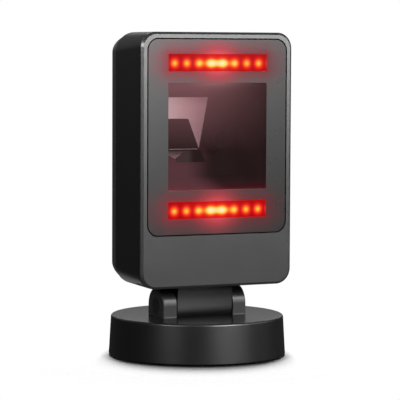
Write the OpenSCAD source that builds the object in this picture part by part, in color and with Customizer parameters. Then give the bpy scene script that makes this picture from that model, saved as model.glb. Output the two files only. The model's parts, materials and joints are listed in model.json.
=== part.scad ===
// Hands-free barcode scanner: an upright scanning head that tilts on a weighted round base.
// The origin is on the surface under the middle of the base. +Z is up and the front faces -Y.

/* [Base] */
// Outside radius of the base at its lower edge
base_r_low = 41.2; // [40.5:0.1:44]
// Outside radius of the base at its top edge
base_r_top = 40.2; // [39.5:0.1:40.4]
// Height of the base's top above the surface that it stands on
base_top = 19; // [18.2:0.1:19.2]
// Radius of the rounded top edge of the base
base_edge = 1; // [0.5:0.1:1.5]
// Wall thickness of the base shell
base_wall = 2.4; // [2:0.1:2.8]
// Height of the shell's lower edge above the surface, held up by the rubber ring
foot_gap = 0.6; // [0.5:0.1:1.6]
// Thickness of the steel weight
ballast_t = 7.6; // [4:0.1:8]

/* [Hinge] */
// Height of the hinge axis above the surface
hinge_z = 23.6; // [23.3:0.1:24]
// Radius of the round top of the two ears
ear_r = 8.64; // [8.2:0.01:9]
// Distance from the middle to an ear's inner face
ear_in = 14.5; // [14:0.1:15]
// Distance from the middle to an ear's outer face
ear_out = 21.2; // [20.6:0.1:22]
// Radius of the head's hinge barrel
knuckle_r = 8.5; // [8:0.1:8.6]
// Radius of the hinge pin
pin_r = 2.5; // [2:0.1:2.6]
// Running clearance of the hinge pin in its bushes
pin_clear = 0.05; // [0.02:0.01:0.1]

/* [Head] */
// Width of the head
head_w = 76; // [75:0.1:78]
// Height of the head
head_h = 116.2; // [115:0.1:118]
// Height of the head's underside above the surface
head_low = 33.8; // [33.6:0.1:34.4]
// Distance from the hinge axis forwards to the front face
face_y = 21.3; // [21:0.1:22]
// Distance from the hinge axis backwards to the back face
back_y = 25; // [24:0.1:26]
// Corner radius of the head seen from the front
head_r = 7.2; // [6.8:0.1:8]
// Width of the 45 degree chamfer round the front face
face_chamfer = 0.95; // [0.6:0.05:1.2]
// Wall thickness of the head's shells
head_wall = 2.2; // [1.8:0.1:2.4]
// Distance from the hinge axis backwards to the seam of the rear cover
rear_seam_y = 7.2; // [6:0.1:8]
// How far the rear cover's rounding draws in at the back face
rear_draw = 7.9; // [6:0.1:7.9]

/* [Window panel] */
// Width of the flush window panel
panel_w = 69.5; // [69:0.1:71]
// Height of the flush window panel
panel_h = 88.5; // [88:0.1:90]
// Height of the panel's lower edge above the surface
panel_low = 58.2; // [57.6:0.1:58.6]
// Corner radius of the panel
panel_r = 5; // [4:0.1:6]
// Width of the groove round the panel
panel_gap = 0.55; // [0.3:0.05:0.8]
// Width of the scan window and of both light strips
scan_w = 49.6; // [48:0.1:50]
// Height of the scan window
scan_h = 48.6; // [47:0.1:49]
// Height of the middle of the scan window above the surface
scan_z = 102.6; // [102.2:0.1:103]
// Height of a light strip
strip_h = 7.8; // [7:0.1:8]
// Heights of the middles of the lower and upper light strips
strip_z = [69.2, 136.2];
// Number of lamps in a light strip
led_count = 8; // [6:1:8]
// Distance from one lamp to the next
led_pitch = 6.05; // [5.6:0.05:6.1]

/* [Hidden] */
$fn = 64;

eps = 0.01;
gap = 0.05;                               // assembly gap between a screw or plug and its hole
head_mid = head_low + head_h / 2;
panel_z = panel_low + panel_h / 2;

// Base
plate_t = 2.8;
plate_r = 38.3;
plate_top = foot_gap + plate_t;
boss_ring_r = 33.6;                       // circle of the base screws
ballast_r = 36.4;
ballast_ring_r = 18;                      // circle of the ballast screws
foot_r_out = 37.4;
foot_r_in = 27;
foot_groove = 0.6;
well_r = knuckle_r + 0.7;                 // round hollow in the base's top, under the knuckle
well_wall = 2;
ear_chamfer = 0.6;
cap_r = 4;
cap_t = 1.2;

// Hinge
knuckle_half = ear_in - 0.3;
bush_r = 3.5;
bush_flange_r = 5.2;
bush_flange_t = 1;
washer_t = 0.8;
neck_screw_x = 10.5;
neck_screw_y = 2.6;
tongue = [13, 11];

// Head shells, as distances along Y
frame_t = 2.3;
frame_back = -face_y + frame_t;
housing_front = frame_back + 0.4;
lip_inset = head_wall + 0.2;
ledge_front = -face_y + 1.8;
ledge_back = ledge_front + 2.1;
bulkhead_front = -13.5;
bulkhead_back = -11.7;
panel_t = 1.5;
panel_back = -face_y + panel_t;
ledge_w = 5.35;                           // width of the ledge behind the panel's edge
housing_r = 8.3;                          // corner radius of the main housing
rear_r = 9.4;                             // corner radius of the rear cover
rear_step = 0.3;                          // gap between the housing and the rear cover
rear_round = 1.9;                         // exponent of the rear cover's rounding, 2 is an ellipse
round_steps = 14;
frame_boss_x = 32;
frame_boss_z = [50, 144];
rear_boss_x = 25;
rear_boss_z = [46, 138];
rear_seat_y = 11;                         // seat of the rear cover screws' heads

// Electronics
board_y = 8;
board_t = 1.6;
board_size = [41.6, 100];
board_z = 91.5;
board_screw_x = 17;
board_screw_z = [60, 136];
led_board_y = -15.6;
led_board_t = 1.2;
led_board_size = [62, 9];
led_screw_x = 28.5;
led_cable_x = 11;
hood_back = 3;
hood_wall = 1.2;
hood_tail = [42, 38];                     // inside of the hood at its back
lens_x = 10;
lens_z = 101;
engine_t = 6;
socket_size = [15.5, 13.5];
socket_z = 49.75;
socket_back = 24.2;
plug_size = [11.8, 6.8];

PLASTIC = [0.13, 0.13, 0.14];
PLASTIC_GREY = [0.26, 0.26, 0.27];
BLACK = [0.05, 0.05, 0.05];
STEEL = [0.62, 0.63, 0.65];
RED = [0.75, 0.03, 0.03];
GREEN = [0.05, 0.3, 0.12];
GOLD = [0.8, 0.65, 0.25];

// ---------- shared shapes ----------

// A rectangle with round corners, centred
module round_rect(w, h, r) {
    square([w - 2 * r, h], center = true);
    square([w, h - 2 * r], center = true);
    for (x = [-1, 1], y = [-1, 1]) translate([x * (w / 2 - r), y * (h / 2 - r)]) circle(r);
}

// Turns a drawing so that its X stays X, its Y points up and its Z points to the front
module facing_front(z) translate([0, 0, z]) rotate([90, 0, 0]) children();

// A flat outline with round corners between two places along Y
module slab(y0, y1, w, h, r, z) {
    facing_front(z) translate([0, 0, -y1]) linear_extrude(y1 - y0) round_rect(w, h, r);
}

// A plain box given by its middle in X and Z, and two places along Y
module block(y0, y1, w, h, x, z) {
    translate([x - w / 2, y0, z - h / 2]) cube([w, y1 - y0, h]);
}

// A round bar along Y
module rod_y(y0, y1, r, x, z) translate([x, y1, z]) rotate([90, 0, 0]) cylinder(r = r, h = y1 - y0);

// A round bar along X
module rod_x(x0, x1, r, z) translate([x0, 0, z]) rotate([0, 90, 0]) cylinder(r = r, h = x1 - x0);

// A solid whose edge follows a profile all round a round-cornered rectangle. The profile is
// drawn with X out from the corner's centre line and Y towards the front.
module swept_rim(w, h, r, back, front) {
    x = w / 2 - r;
    y = h / 2 - r;
    facing_front(head_mid) {
        for (i = [-1, 1], j = [-1, 1]) translate([i * x, j * y, 0]) rotate_extrude() children();
        for (i = [0, 1]) mirror([i, 0, 0]) translate([x, 0, 0])
            rotate([90, 0, 0]) linear_extrude(2 * y, center = true) children();
        for (j = [0, 1]) mirror([0, j, 0]) translate([0, y, 0])
            rotate([90, 0, 90]) linear_extrude(2 * x, center = true) children();
        translate([-x, -y, -back]) cube([2 * x, 2 * y, back - front]);
    }
}

// A screw along +Z with its head on top, the underside of the head at z = 0
module screw(shank_r, length, top_r, top_h) {
    difference() {
        union() {
            cylinder(r = top_r, h = top_h, $fn = 32);
            translate([0, 0, -length]) cylinder(r = shank_r, h = length + eps, $fn = 24);
        }
        for (a = [0, 90]) rotate(a)
            translate([-top_r * 0.6, -top_r * 0.13, top_h * 0.5]) cube([top_r * 1.2, top_r * 0.26, top_h]);
    }
}

// ---------- base ----------

function base_r_at(z) = base_r_low + (base_r_top - base_r_low) * (z - foot_gap) / (base_top - foot_gap);

function top_edge(steps) = [for (i = [0:steps]) let (a = 90 * i / steps)
    [base_r_at(base_top) - base_edge * (1 - sin(a)), base_top - base_edge * (1 - cos(a))]];

module base_shell() color(PLASTIC) {
    inner = base_wall;
    difference() {
        union() {
            rotate_extrude($fn = 128) polygon(concat(
                [[0, base_top]], top_edge(6),
                [[base_r_low, foot_gap + 0.5], [base_r_low - 0.5, foot_gap],
                 [plate_r + 0.2, foot_gap], [plate_r + 0.2, plate_top], [base_r_low - inner - 1, plate_top],
                 [base_r_top - inner - 0.6, base_top - inner], [0, base_top - inner]]));
            for (a = [45:90:315]) rotate(a) translate([boss_ring_r, 0, plate_top])
                cylinder(r = 3.1, h = base_top - inner - plate_top + eps, $fn = 32);
            intersection() {
                rod_x(-ear_in - well_wall, ear_in + well_wall, well_r + well_wall, hinge_z);
                translate([-30, -30, 0]) cube([60, 60, base_top - 1]);
            }
            for (side = [0, 1]) mirror([side, 0, 0]) ear();
        }
        rod_x(-ear_in, ear_in, well_r, hinge_z);
        for (a = [45:90:315]) rotate(a) translate([boss_ring_r, 0, plate_top - eps])
            cylinder(r = 1.25 + gap, h = 8, $fn = 24);
        rod_x(-ear_out - 1, ear_out + 1, pin_r + 0.02, hinge_z);
        for (side = [0, 1]) mirror([side, 0, 0]) rod_x(ear_out - cap_t - gap, ear_out + 1, cap_r, hinge_z);
    }
}

// One ear: straight sides, a half-round top about the hinge axis and a chamfered outer edge
module ear() {
    foot = base_top - 1;
    flat = ear_out - ear_chamfer;
    rod_x(ear_in, flat, ear_r, hinge_z);
    translate([ear_in, -ear_r, foot]) cube([flat - ear_in, 2 * ear_r, hinge_z - foot]);
    translate([flat - eps, 0, hinge_z]) rotate([0, 90, 0])
        cylinder(r1 = ear_r, r2 = ear_r - ear_chamfer, h = ear_chamfer + eps);
    translate([0, 0, foot]) linear_extrude(hinge_z - foot) polygon([
        [flat - eps, -ear_r], [ear_out, -ear_r + ear_chamfer],
        [ear_out, ear_r - ear_chamfer], [flat - eps, ear_r]]);
}

module base_plate() color(BLACK) difference() {
    translate([0, 0, foot_gap]) cylinder(r = plate_r, h = plate_t, $fn = 128);
    translate([0, 0, foot_gap - eps]) difference() {
        cylinder(r = foot_r_out + 0.1, h = foot_groove + eps, $fn = 96);
        translate([0, 0, -1]) cylinder(r = foot_r_in - 0.1, h = foot_groove + 2, $fn = 96);
    }
    for (a = [45:90:315]) rotate(a) translate([boss_ring_r, 0, 0]) {
        cylinder(r = 1.6, h = 10, $fn = 24);
        translate([0, 0, foot_gap - 1]) cylinder(r = 2.7, h = 2.8, $fn = 32);
    }
    for (a = [90:120:330]) rotate(a) translate([ballast_ring_r, 0, 0]) {
        cylinder(r = 1.6, h = 10, $fn = 24);
        translate([0, 0, foot_gap - 1]) cylinder(r = 2.7, h = 2.4, $fn = 32);
    }
}

module base_ballast() color(STEEL) difference() {
    translate([0, 0, plate_top]) cylinder(r = ballast_r, h = ballast_t, $fn = 96);
    for (a = [45:90:315]) rotate(a) translate([boss_ring_r, 0, 0]) {
        cylinder(r = 3.6, h = 20, $fn = 32);
        translate([0, -3.6, 0]) cube([8, 7.2, 20]);
    }
    for (a = [90:120:330]) rotate(a) translate([ballast_ring_r, 0, 0])
        cylinder(r = 1.4 + gap, h = plate_top + 6, $fn = 24);
}

module foot_ring() color(BLACK) difference() {
    cylinder(r = foot_r_out, h = foot_gap + foot_groove, $fn = 96);
    translate([0, 0, -1]) cylinder(r = foot_r_in, h = 5, $fn = 96);
}

module base_screws() color(STEEL) for (a = [45:90:315])
    rotate(a) translate([boss_ring_r, 0, foot_gap + 1.8]) mirror([0, 0, 1]) screw(1.25, 7.6, 2.5, 1.1);

module ballast_screws() color(STEEL) for (a = [90:120:330])
    rotate(a) translate([ballast_ring_r, 0, foot_gap + 1.4]) mirror([0, 0, 1]) screw(1.4, 6.4, 2.5, 1.3);

// ---------- hinge ----------

module hinge_pin() color(STEEL) {
    half = ear_out - cap_t - 0.2;
    tip = 0.5;
    rod_x(-half + tip, half - tip, pin_r, hinge_z);
    for (side = [0, 1]) mirror([side, 0, 0]) translate([half - tip - eps, 0, hinge_z])
        rotate([0, 90, 0]) cylinder(r1 = pin_r, r2 = pin_r - tip, h = tip + eps);
}

module hinge_caps() color(BLACK) for (side = [0, 1]) mirror([side, 0, 0])
    rod_x(ear_out - cap_t, ear_out, cap_r - gap, hinge_z);

module hinge_knuckle() color(PLASTIC) difference() {
    union() {
        rod_x(-knuckle_half, knuckle_half, knuckle_r, hinge_z);
        translate([-knuckle_half, -knuckle_r, hinge_z])
            cube([2 * knuckle_half, 2 * knuckle_r, head_low - hinge_z]);
        translate([-tongue[0] / 2, -tongue[1] / 2, head_low - eps]) cube([tongue[0], tongue[1], head_wall]);
    }
    rod_x(-knuckle_half - 1, knuckle_half + 1, bush_r, hinge_z);
    for (side = [0, 1]) mirror([side, 0, 0])
        rod_x(knuckle_half - 1.6, knuckle_half + 1, bush_flange_r + gap, hinge_z);
    for (x = [-1, 1], y = [-1, 1]) translate([x * neck_screw_x, y * neck_screw_y, head_low - 5.8])
        cylinder(r = 1.25 + gap, h = 10, $fn = 24);
}

module hinge_bushes() color([0.85, 0.85, 0.82]) for (side = [0, 1]) mirror([side, 0, 0]) difference() {
    union() {
        rod_x(4, knuckle_half - 1.6 + eps, bush_r - 0.02, hinge_z);
        rod_x(knuckle_half - 1.6, knuckle_half - 1.6 + bush_flange_t, bush_flange_r, hinge_z);
    }
    rod_x(0, knuckle_half + 1, pin_r + pin_clear, hinge_z);
}

module spring_washers() color(STEEL) for (side = [0, 1]) mirror([side, 0, 0]) difference() {
    rod_x(ear_in - gap - washer_t, ear_in - gap, 4.9, hinge_z);
    rod_x(0, ear_in + 1, pin_r + 0.2, hinge_z);
}

module knuckle_screws() color(STEEL) for (x = [-1, 1], y = [-1, 1])
    translate([x * neck_screw_x, y * neck_screw_y, head_low + head_wall]) screw(1.25, 7.6, 2.4, 1.6);

// ---------- head shells ----------

module front_frame() color(PLASTIC_GREY) difference() {
    union() {
        swept_rim(head_w, head_h, head_r, frame_back, -face_y) polygon([
            [0, -frame_back], [head_r, -frame_back], [head_r, face_y - face_chamfer],
            [head_r - face_chamfer, face_y], [0, face_y]]);
        slab(frame_back - eps, ledge_back, head_w - 2 * lip_inset, head_h - 2 * lip_inset,
             housing_r - lip_inset, head_mid);
        for (x = [-1, 1], z = frame_boss_z)
            rod_y(ledge_back - eps, bulkhead_front, 2.4, x * frame_boss_x, z);
    }
    slab(-face_y - 1, ledge_front, panel_w + 2 * panel_gap, panel_h + 2 * panel_gap,
         panel_r + panel_gap, panel_z);
    slab(-face_y - 2, 0, panel_w - 2 * ledge_w, panel_h - 2 * ledge_w, 2, panel_z);
    slab(ledge_front, ledge_back + 1, head_w - 12, panel_low - head_low - 12, 2,
         (head_low + panel_low) / 2 - 1);
    for (x = [-1, 1], z = frame_boss_z) rod_y(-18, 0, 1.1 + gap, x * frame_boss_x, z);
}

module frame_screws() color(STEEL) for (x = [-1, 1], z = frame_boss_z)
    translate([x * frame_boss_x, bulkhead_back, z]) rotate([-90, 0, 0]) screw(1.1, 6, 2.1, 1.4);

module panel_tape() color(BLACK) difference() {
    slab(panel_back, ledge_front, panel_w - 1, panel_h - 1, panel_r - 0.5, panel_z);
    slab(panel_back - 1, 0, panel_w - 2 * ledge_w + 1, panel_h - 2 * ledge_w + 1, 2, panel_z);
}

module window_panel() color(PLASTIC_GREY) difference() {
    slab(-face_y, panel_back, panel_w, panel_h, panel_r, panel_z);
    block(-face_y - 1, 0, scan_w, scan_h, 0, scan_z);
    for (z = strip_z) block(-face_y - 1, 0, scan_w, strip_h, 0, z);
}

module scan_window() color([0.3, 0.08, 0.1, 0.55])
    block(-face_y, panel_back, scan_w - 2 * gap, scan_h - 2 * gap, 0, scan_z);

module led_windows() color([0.8, 0.02, 0.02, 0.7]) for (z = strip_z)
    block(-face_y, panel_back, scan_w - 2 * gap, strip_h - 2 * gap, 0, z);

module main_housing() color(PLASTIC) difference() {
    union() {
        difference() {
            slab(housing_front, rear_seam_y, head_w, head_h, housing_r, head_mid);
            slab(housing_front - 1, rear_seam_y + 1, head_w - 2 * head_wall, head_h - 2 * head_wall,
                 housing_r - head_wall, head_mid);
        }
        difference() {
            slab(bulkhead_front, bulkhead_back, head_w - 2 * head_wall + 0.2, head_h - 2 * head_wall + 0.2,
                 housing_r - head_wall, head_mid);
            block(bulkhead_front - 1, bulkhead_back + 1, scan_w + 5.4, scan_h + 4.6, 0, scan_z);
            for (z = strip_z) rod_y(bulkhead_front - 1, 0, 2.4, led_cable_x, z);
        }
        for (x = [-1, 1], z = rear_boss_z)
            rod_y(bulkhead_back - eps, rear_seam_y - 0.3, 3, x * rear_boss_x, z);
        for (x = [-1, 1], z = board_screw_z)
            rod_y(bulkhead_back - eps, board_y, 2.2, x * board_screw_x, z);
        for (x = [-1, 1], z = strip_z)
            rod_y(led_board_y + led_board_t, bulkhead_front + eps, 2, x * led_screw_x, z);
    }
    for (x = [-1, 1], z = rear_boss_z) rod_y(-3, rear_seam_y, 1.4 + gap, x * rear_boss_x, z);
    for (x = [-1, 1], z = board_screw_z) rod_y(1, board_y + 1, 1 + gap, x * board_screw_x, z);
    for (x = [-1, 1], z = strip_z) rod_y(led_board_y, bulkhead_back + 1, 0.8 + gap, x * led_screw_x, z);
    for (x = [-1, 1], z = frame_boss_z)
        rod_y(bulkhead_front - 1, bulkhead_back + 1, 1.3, x * frame_boss_x, z);
    for (x = [-1, 1], y = [-1, 1]) translate([x * neck_screw_x, y * neck_screw_y, head_low - 1])
        cylinder(r = 1.5, h = head_wall + 2, $fn = 24);
    translate([-tongue[0] / 2 - gap, -tongue[1] / 2 - gap, head_low - 1])
        cube([tongue[0] + 2 * gap, tongue[1] + 2 * gap, head_wall + 2]);
}

// Half of the rear cover's rounding: distance from the corner's centre line against depth
function rear_profile(r, draw, depth) = let (start = asin(pow((rear_seam_y + rear_step) / depth, rear_round / 2)))
    [for (i = [0:round_steps]) let (a = start + (90 - start) * i / round_steps)
        [max(r - draw * (1 - pow(cos(a), 2 / rear_round)), 0), -depth * pow(sin(a), 2 / rear_round)]];

module rear_solid(inset) {
    r = rear_r - inset;
    depth = back_y - inset;
    front = rear_seam_y + rear_step;
    swept_rim(head_w - 2 * inset, head_h - 2 * inset, r, depth, front) polygon(concat(
        [[0, -front]], rear_profile(r, min(rear_draw, r), depth), [[0, -depth]]));
}

module rear_cover() color(PLASTIC) difference() {
    union() {
        difference() {
            rear_solid(0);
            rear_solid(head_wall);
        }
        difference() {
            slab(rear_seam_y - 2, rear_seam_y + rear_step + 1.5, head_w - 2 * lip_inset,
                 head_h - 2 * lip_inset, housing_r - lip_inset, head_mid);
            slab(rear_seam_y - 3, rear_seam_y + 3, head_w - 2 * lip_inset - 2.8,
                 head_h - 2 * lip_inset - 2.8, housing_r - lip_inset - 1.4, head_mid);
        }
        for (x = [-1, 1], z = rear_boss_z)
            rod_y(rear_seam_y - 0.2, back_y - 1, 3.8, x * rear_boss_x, z);
    }
    for (x = [-1, 1], z = rear_boss_z) {
        rod_y(rear_seam_y - 1, back_y, 1.6, x * rear_boss_x, z);
        rod_y(rear_seat_y, back_y + 1, 2.8, x * rear_boss_x, z);
    }
    block(rear_seam_y, back_y + 1, socket_size[0] + 0.7, socket_size[1] + 0.7, 0, socket_z);
}

module rear_cover_screws() color(STEEL) for (x = [-1, 1], z = rear_boss_z)
    translate([x * rear_boss_x, rear_seat_y, z]) rotate([-90, 0, 0]) screw(1.4, 13, 2.6, 1.6);

// ---------- optics ----------

module optical_hood() color(BLACK) {
    front = [scan_w + 0.8, scan_h + 0.8];
    difference() {
        hood_form(front, hood_tail, hood_wall, panel_back + 0.2, hood_back + hood_wall);
        hood_form(front, hood_tail, 0, panel_back - 1, hood_back);
        rod_y(0, hood_back + 5, 6.2, lens_x, lens_z);
    }
}

// A tapering box, wide at the front
module hood_form(front, tail, wall, y0, y1) hull() {
    block(y0, y0 + 2, front[0] + 2 * wall, front[1] + 2 * wall, 0, scan_z);
    block(y1 - 0.2, y1, tail[0] + 2 * wall, tail[1] + 2 * wall, 0, scan_z);
}

// A pale plate with a tapering wing, fixed on the hood's back wall
module imager_bracket() color([0.8, 0.72, 0.72]) {
    facing_front(0) translate([0, 0, -1.2]) linear_extrude(1.2)
        polygon([[-19, 120], [5.2, 120], [0.4, 95.6], [-6, 94.9], [-11.2, 91.5], [-15, 93.4], [-19, 95.4]]);
    block(1.2 - eps, hood_back, 10, 23, -12, 105.5);
}

// A dark block with a thin lip along its lower edge, and a thin foot below
module imager_engine() color(BLACK) facing_front(0) {
    linear_extrude(engine_t) polygon([[-17.5, 110.2], [-7.6, 110.2], [-1.9, 95.7], [-17.5, 95.7]]);
    linear_extrude(engine_t + 0.5) polygon([[-17.5, 96.5], [-3.2, 96.5], [-3.1, 96.2], [-17.5, 96.2]]);
    linear_extrude(1.2) polygon([
        [-11.8, 91.5], [-10.4, 89.9], [3.4, 90], [1.3, 95.2], [-0.4, 96.2], [-6.6, 96.2], [-6.6, 95],
    ]);
}

module lens_barrel() color(BLACK) difference() {
    union() {
        rod_y(-1, 5, 6, lens_x, lens_z);
        rod_y(-4, -1 + eps, 4.6, lens_x, lens_z);
    }
    rod_y(-5, 6, 3.2, lens_x, lens_z);
    rod_y(-5, -3, 3.9, lens_x, lens_z);
}

module camera_lens() color([0.25, 0.3, 0.4, 0.6]) {
    rod_y(-2.9, -1.2, 3.15, lens_x, lens_z);
    rod_y(1, 2.4, 3.15, lens_x, lens_z);
}

module sensor_board() color(GREEN) {
    block(5, 6, 18, 20, lens_x, lens_z);
    block(4.2, 5 + eps, 4.6, 3.6, lens_x, lens_z);
}

// ---------- lights ----------

module led_reflectors() color([0.85, 0.8, 0.8]) for (z = strip_z) difference() {
    block(panel_back + 0.2, led_board_y, scan_w + 2.8, strip_h + 2.4, 0, z);
    block(panel_back - 1, led_board_y + 1, scan_w + 0.6, strip_h + 0.6, 0, z);
}

module led_board(z) color(GREEN) difference() {
    block(led_board_y, led_board_y + led_board_t, led_board_size[0], led_board_size[1], 0, z);
    for (x = [-1, 1]) rod_y(led_board_y - 1, led_board_y + 3, 1, x * led_screw_x, z);
}
module led_board_lower() led_board(strip_z[0]);
module led_board_upper() led_board(strip_z[1]);

// A row of lamps: a square package with a domed lens
module led_row(z) color([1, 0.55, 0.1]) for (i = [0:led_count - 1])
    translate([(i - (led_count - 1) / 2) * led_pitch, led_board_y, z]) rotate([90, 0, 0]) {
        translate([-1.6, -1.6, 0]) cube([3.2, 3.2, 0.9]);
        intersection() {
            translate([0, 0, 0.6]) sphere(r = 1.3, $fn = 24);
            translate([-2, -2, 0.5]) cube([4, 4, 3]);
        }
    }
module leds_lower() led_row(strip_z[0]);
module leds_upper() led_row(strip_z[1]);

module led_board_screws() color(STEEL) for (x = [-1, 1], z = strip_z)
    translate([x * led_screw_x, led_board_y, z]) rotate([90, 0, 0]) screw(0.8, 3.6, 1.5, 0.8);

// Three wires from each lamp board straight back to the decoder board
module led_cables() color(RED) for (z = strip_z, i = [-1:1])
    rod_y(led_board_y + led_board_t, board_y - 3, 0.5, led_cable_x + i * 1.25, z);

// ---------- electronics ----------

module decoder_board() color(GREEN) difference() {
    block(board_y, board_y + board_t, board_size[0], board_size[1], 0, board_z);
    for (x = [-1, 1], z = board_screw_z) rod_y(board_y - 1, board_y + 3, 1.2, x * board_screw_x, z);
}

module decoder_chips() color(BLACK) {
    back = board_y + board_t;
    block(back, back + 1.4, 14, 14, -6, 102);
    block(back, back + 1.1, 9, 11, 12, 100);
    block(back, back + 1, 6, 5, -12, 82);
    block(back, back + 2.4, 5, 5, 14, 80);
    for (i = [0:4]) block(back, back + 0.8, 1.2, 2, -6 + i * 3, 120);
}

// Sockets of the wires and of the ribbon on the front of the decoder board
module board_connectors() color([0.9, 0.88, 0.8]) {
    for (z = strip_z) block(board_y - 3, board_y, 6, 4, led_cable_x, z);
    block(board_y - 1.2, board_y, 12, 3, lens_x, 78);
}

module board_screws() color(STEEL) for (x = [-1, 1], z = board_screw_z)
    translate([x * board_screw_x, board_y + board_t, z]) rotate([-90, 0, 0]) screw(1, 7, 1.9, 1.2);

module beeper() color(BLACK) difference() {
    rod_y(board_y + board_t, board_y + board_t + 5.5, 5.8, -10, 66);
    rod_y(board_y + board_t + 4, board_y + board_t + 6, 1, -10, 66);
}

// A flat ribbon from the sensor board down to the decoder board
module engine_ribbon() color([0.75, 0.55, 0.25]) translate([lens_x - 4, 0, 0]) rotate([90, 0, 90])
    linear_extrude(8) {
        translate([6, 79.6]) square([0.15, 16]);
        translate([6, 79.4]) difference() {
            translate([0.4, 0]) circle(r = 0.4);
            translate([0.4, 0]) circle(r = 0.25);
            translate([-1, 0.2]) square([3, 2]);
        }
    }

// Modular cable socket, open to the back, with a slot for the plug's latch
module cable_socket() color(BLACK) difference() {
    block(board_y + board_t, socket_back, socket_size[0], socket_size[1], 0, socket_z);
    block(board_y + board_t + 2, socket_back + 1, plug_size[0], plug_size[1], 0, socket_z + 1);
    block(socket_back - 9, socket_back + 1, 4.2, 3, 0, socket_z - 3.6);
}

module socket_contacts() color(GOLD) for (i = [-4.5:4.5])
    block(board_y + board_t + 2, socket_back - 2, 0.4, 0.4, i * 1.02, socket_z + 1 + plug_size[1] / 2 - 0.2);

base_shell();
base_plate();
base_ballast();
foot_ring();
base_screws();
ballast_screws();
hinge_pin();
hinge_caps();
hinge_knuckle();
hinge_bushes();
spring_washers();
knuckle_screws();
front_frame();
frame_screws();
panel_tape();
window_panel();
scan_window();
led_windows();
main_housing();
rear_cover();
rear_cover_screws();
optical_hood();
imager_bracket();
imager_engine();
lens_barrel();
camera_lens();
sensor_board();
led_reflectors();
led_board_upper();
led_board_lower();
leds_upper();
leds_lower();
led_board_screws();
led_cables();
decoder_board();
decoder_chips();
board_connectors();
board_screws();
beeper();
engine_ribbon();
cable_socket();
socket_contacts();
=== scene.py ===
"""Hands-free barcode scanner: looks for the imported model, a camera and soft studio light.

Everything is in metres in the model's own frame: the origin is on the surface under the middle of
the round base, +Z is up and the scanning face looks to -Y.
"""

import json
import math

import bmesh
import bpy
from mathutils import Matrix, Vector

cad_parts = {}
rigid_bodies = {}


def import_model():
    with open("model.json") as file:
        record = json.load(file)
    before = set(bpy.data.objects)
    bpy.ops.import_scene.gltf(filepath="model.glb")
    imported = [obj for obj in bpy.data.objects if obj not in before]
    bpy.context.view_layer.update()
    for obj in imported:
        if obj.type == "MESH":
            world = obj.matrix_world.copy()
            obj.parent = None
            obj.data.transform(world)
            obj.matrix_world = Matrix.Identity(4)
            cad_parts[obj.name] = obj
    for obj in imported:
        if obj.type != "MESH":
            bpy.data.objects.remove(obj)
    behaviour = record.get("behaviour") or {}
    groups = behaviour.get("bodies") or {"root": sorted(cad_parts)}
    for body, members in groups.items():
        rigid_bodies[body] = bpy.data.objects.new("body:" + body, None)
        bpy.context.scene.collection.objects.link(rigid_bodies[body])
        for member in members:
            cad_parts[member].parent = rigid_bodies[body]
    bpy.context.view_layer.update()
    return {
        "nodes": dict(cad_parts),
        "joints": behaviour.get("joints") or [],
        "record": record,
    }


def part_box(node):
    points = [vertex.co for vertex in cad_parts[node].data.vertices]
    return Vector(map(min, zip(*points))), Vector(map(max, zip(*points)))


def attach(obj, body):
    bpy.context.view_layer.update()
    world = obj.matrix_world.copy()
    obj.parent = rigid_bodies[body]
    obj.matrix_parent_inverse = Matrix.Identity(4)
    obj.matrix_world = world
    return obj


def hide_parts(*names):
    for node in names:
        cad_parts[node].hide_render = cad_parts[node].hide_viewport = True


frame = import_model()

MM = 0.001

# ---------------------------------------------------------------- driving dimensions

HINGE_Z = frame["joints"][0]["pos_m"][2]

FRAME_LOW, FRAME_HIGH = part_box("front_frame")
HOUSING_LOW, HOUSING_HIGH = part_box("main_housing")
REAR_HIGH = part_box("rear_cover")[1]
PANEL_LOW, PANEL_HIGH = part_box("window_panel")
SCAN_LOW, SCAN_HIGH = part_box("scan_window")
LED_LOW, LED_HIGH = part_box("led_windows")
BASE_LOW, BASE_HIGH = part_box("base_shell")
KNUCKLE_LOW, KNUCKLE_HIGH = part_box("hinge_knuckle")
PLATE_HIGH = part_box("base_plate")[1]

# Head: outline, front frame with its chamfer, and the ledge that carries the window panel
HEAD_W = FRAME_HIGH.x - FRAME_LOW.x
HEAD_H = FRAME_HIGH.z - FRAME_LOW.z
HEAD_Z = (FRAME_HIGH.z + FRAME_LOW.z) / 2
FACE_Y = FRAME_LOW.y
HEAD_R = 7.2 * MM
CORNER_STEPS = 16
WALL = 2.2 * MM
FACE_CHAMFER = 0.93 * MM
FACE_CHAMFER_W = 1.1 * MM
FRAME_T = 2.3 * MM
LIP_INSET = WALL + 0.2 * MM
LEDGE_FRONT = FACE_Y + 1.8 * MM
LEDGE_BACK = LEDGE_FRONT + 2.1 * MM
LEDGE_W = 5.35 * MM
LEDGE_R = 2 * MM
PANEL_GAP = 0.55 * MM
PANEL_INSET = 0.01 * MM
PANEL_R = 5 * MM
TAPE_INSET = 0.6 * MM

# Casings: corner radii, the rear cover's rounding, and the bulkhead inside
HOUSING_R = 8.3 * MM
REAR_R = 9.4 * MM
HOUSING_STEPS = 6
REAR_STEPS = 28
REAR_DRAW = 7.9 * MM
REAR_POWER = 1.9
BULKHEAD_FRONT = -13.5 * MM
BULKHEAD_BACK = -11.7 * MM

# Screws, as (x, z) places, with the radii of what holds them
FRAME_SCREWS = [(side * 32 * MM, z * MM) for side in (-1, 1) for z in (50, 144)]
REAR_SCREWS = [(side * 25 * MM, z * MM) for side in (-1, 1) for z in (46, 138)]
FRAME_POST_R = 2.4 * MM
HOUSING_POST_R = 3 * MM
REAR_TUBE_R = 3.8 * MM
SCREW_HEAD_R = 2.8 * MM
SCREW_BORE_R = 1.6 * MM

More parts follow.
